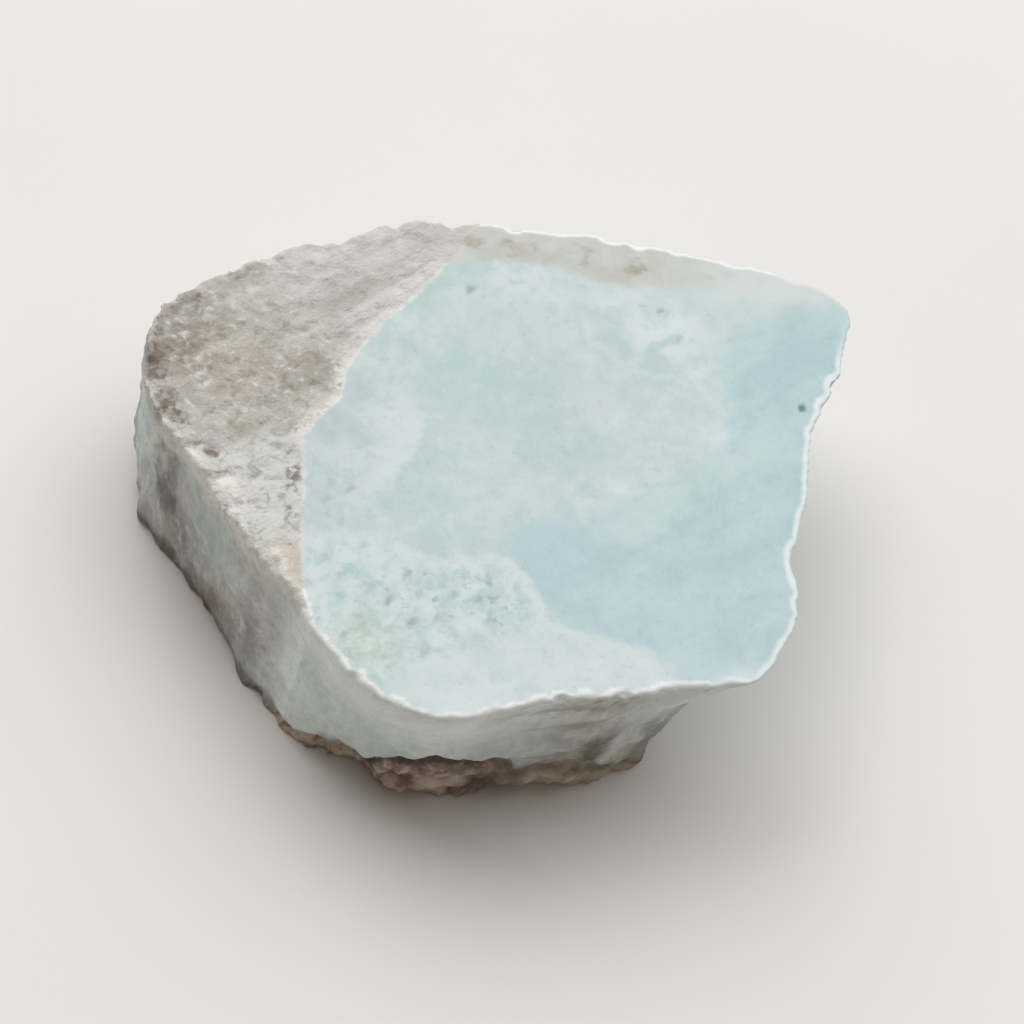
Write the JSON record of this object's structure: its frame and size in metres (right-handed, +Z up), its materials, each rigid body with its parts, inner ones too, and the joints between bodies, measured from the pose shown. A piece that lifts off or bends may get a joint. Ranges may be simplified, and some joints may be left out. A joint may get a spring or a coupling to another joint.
{
  "type": "rough larimar stone",
  "caption": "Rough larimar with a flat sawn top, weathered sides, a flaked undercut right edge and a bed of rind to lie on.",
  "frame": {"origin": "on the surface the stone lies on, under the middle of its box", "axes": "+Z up, square to the sawn face; +X to the right along the sawn face's length, towards the flaked edge; +Y away from the viewer"},
  "size_m": [0.046, 0.0374, 0.012],
  "materials": {
    "larimar": "sawn face, matt, pale blue with tan matrix and brown rind; weathered grey-green sides"
  },
  "bodies": {
    "root": {"larimar_stone": "larimar"}
  },
  "joints": []
}
